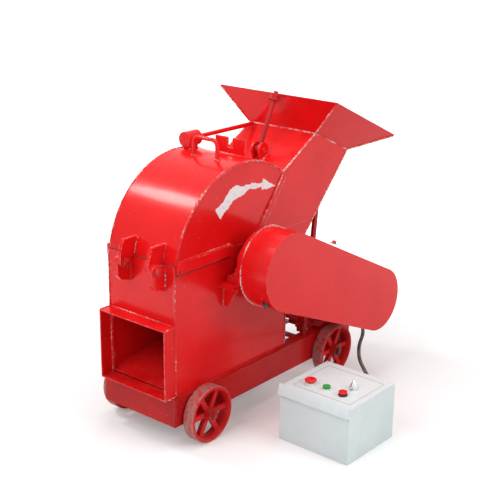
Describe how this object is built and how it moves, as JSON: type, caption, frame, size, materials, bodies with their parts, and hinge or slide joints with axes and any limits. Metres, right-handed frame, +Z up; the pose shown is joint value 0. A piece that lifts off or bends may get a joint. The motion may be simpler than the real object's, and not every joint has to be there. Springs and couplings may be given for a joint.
{
  "type": "hammer crusher",
  "caption": "Small mobile hammer crusher: welded casing with hinged hood, chute with flared hopper, hammer rotor, belt guard, motor on a wheeled chassis, and a switch box on a cable.",
  "frame": {"origin": "middle of the plan on the ground", "axes": "+X to the rear where the motor is, -Y to the belt guard, +Z up"},
  "size_m": [1.1436, 0.933, 1.1072],
  "materials": {
    "red_paint": "gloss red enamel over welded plate",
    "dark_red_paint": "red enamel, duller on castings and channels",
    "bright_steel": "turned and ground steel",
    "plain_steel": "unpainted plate and forged steel",
    "hammer_steel": "cast wear steel",
    "box_white": "light grey powder coat",
    "red_plastic": "gloss red plastic",
    "green_plastic": "gloss green plastic",
    "knob_metal": "turned aluminium",
    "cable_rubber": "black rubber sheath"
  },
  "bodies": {
    "frame": {"chassis_beams": "dark_red_paint", "cross_members": "dark_red_paint", "axles": "plain_steel", "motor_rails": "dark_red_paint", "motor": "dark_red_paint", "casing_sides": "red_paint", "casing_front": "red_paint", "casing_rear": "red_paint", "discharge_box": "red_paint", "discharge_floor": "dark_red_paint", "grate_rails": "plain_steel", "grate_bars": "plain_steel", "liners": "plain_steel", "bearing_shelves": "red_paint", "bearings": "dark_red_paint", "chute_sides": "red_paint", "chute_walls": "red_paint", "hopper": "red_paint", "chute_strut": "dark_red_paint", "belt_guard": "red_paint", "hinge_brackets": "red_paint", "swing_ears": "red_paint", "switch_box": "box_white", "motor_cable": "cable_rubber"},
    "hood": {"hood_sheet": "red_paint", "hood_sides": "red_paint", "hood_skirts": "red_paint", "hood_handle": "red_paint", "latch_plate": "red_paint", "hood_lugs": "red_paint", "far_bar": "red_paint"},
    "swing_bolt": {"swing_bolt": "red_paint"},
    "rotor": {"rotor_shaft": "bright_steel", "rotor_discs": "plain_steel", "hammer_pins": "plain_steel", "hammers": "hammer_steel"},
    "front_near_wheel": {"wheel_front_near": "dark_red_paint"},
    "front_far_wheel": {"wheel_front_far": "dark_red_paint"},
    "rear_near_wheel": {"wheel_rear_near": "dark_red_paint"},
    "rear_far_wheel": {"wheel_rear_far": "dark_red_paint"},
    "lid": {"switch_lid": "box_white"},
    "stop": {"stop_button": "red_plastic"},
    "start": {"start_button": "green_plastic"},
    "emergency": {"emergency_button": "red_plastic"},
    "selector": {"selector_knob": "knob_metal"}
  },
  "joints": [
    {"name": "hood_hinge", "type": "hinge", "parent": "frame", "child": "hood", "pos_m": [-0.54981, 0.1705, 0.629], "axis": [0, -1, 0], "range_deg": [0, 95]},
    {"name": "swing_bolt_pivot", "type": "hinge", "parent": "frame", "child": "swing_bolt", "pos_m": [0.07819, 0.1805, 0.90715], "axis": [0, -1, 0], "range_deg": [0, 97]},
    {"name": "rotor_spin", "type": "hinge", "parent": "frame", "child": "rotor", "pos_m": [-0.16981, 0.1955, 0.586], "axis": [0, 1, 0], "continuous": true},
    {"name": "front_near_wheel_spin", "type": "hinge", "parent": "frame", "child": "front_near_wheel", "pos_m": [-0.40081, 0.0005, 0.1], "axis": [0, 1, 0], "continuous": true},
    {"name": "front_far_wheel_spin", "type": "hinge", "parent": "frame", "child": "front_far_wheel", "pos_m": [-0.40081, 0.3905, 0.1], "axis": [0, 1, 0], "continuous": true},
    {"name": "rear_near_wheel_spin", "type": "hinge", "parent": "frame", "child": "rear_near_wheel", "pos_m": [0.32019, 0.0005, 0.1], "axis": [0, 1, 0], "continuous": true},
    {"name": "rear_far_wheel_spin", "type": "hinge", "parent": "frame", "child": "rear_far_wheel", "pos_m": [0.32019, 0.3905, 0.1], "axis": [0, 1, 0], "continuous": true},
    {"name": "lid_hinge", "type": "hinge", "parent": "frame", "child": "lid", "pos_m": [-0.10081, -0.4665, 0.18815], "axis": [1, 0, 0], "range_deg": [0, 110]},
    {"name": "stop_press", "type": "slide", "parent": "lid", "child": "stop", "axis": [0, 0, -1], "range_m": [0, 0.004], "stiffness_N_per_m": 800},
    {"name": "start_press", "type": "slide", "parent": "lid", "child": "start", "axis": [0, 0, -1], "range_m": [0, 0.004], "stiffness_N_per_m": 800},
    {"name": "emergency_press", "type": "slide", "parent": "lid", "child": "emergency", "axis": [0, 0, -1], "range_m": [0, 0.004], "stiffness_N_per_m": 800},
    {"name": "selector_turn", "type": "hinge", "parent": "lid", "child": "selector", "pos_m": [-0.09481, -0.3845, 0.2], "axis": [0, 0, 1], "range_deg": [-45, 45]}
  ]
}
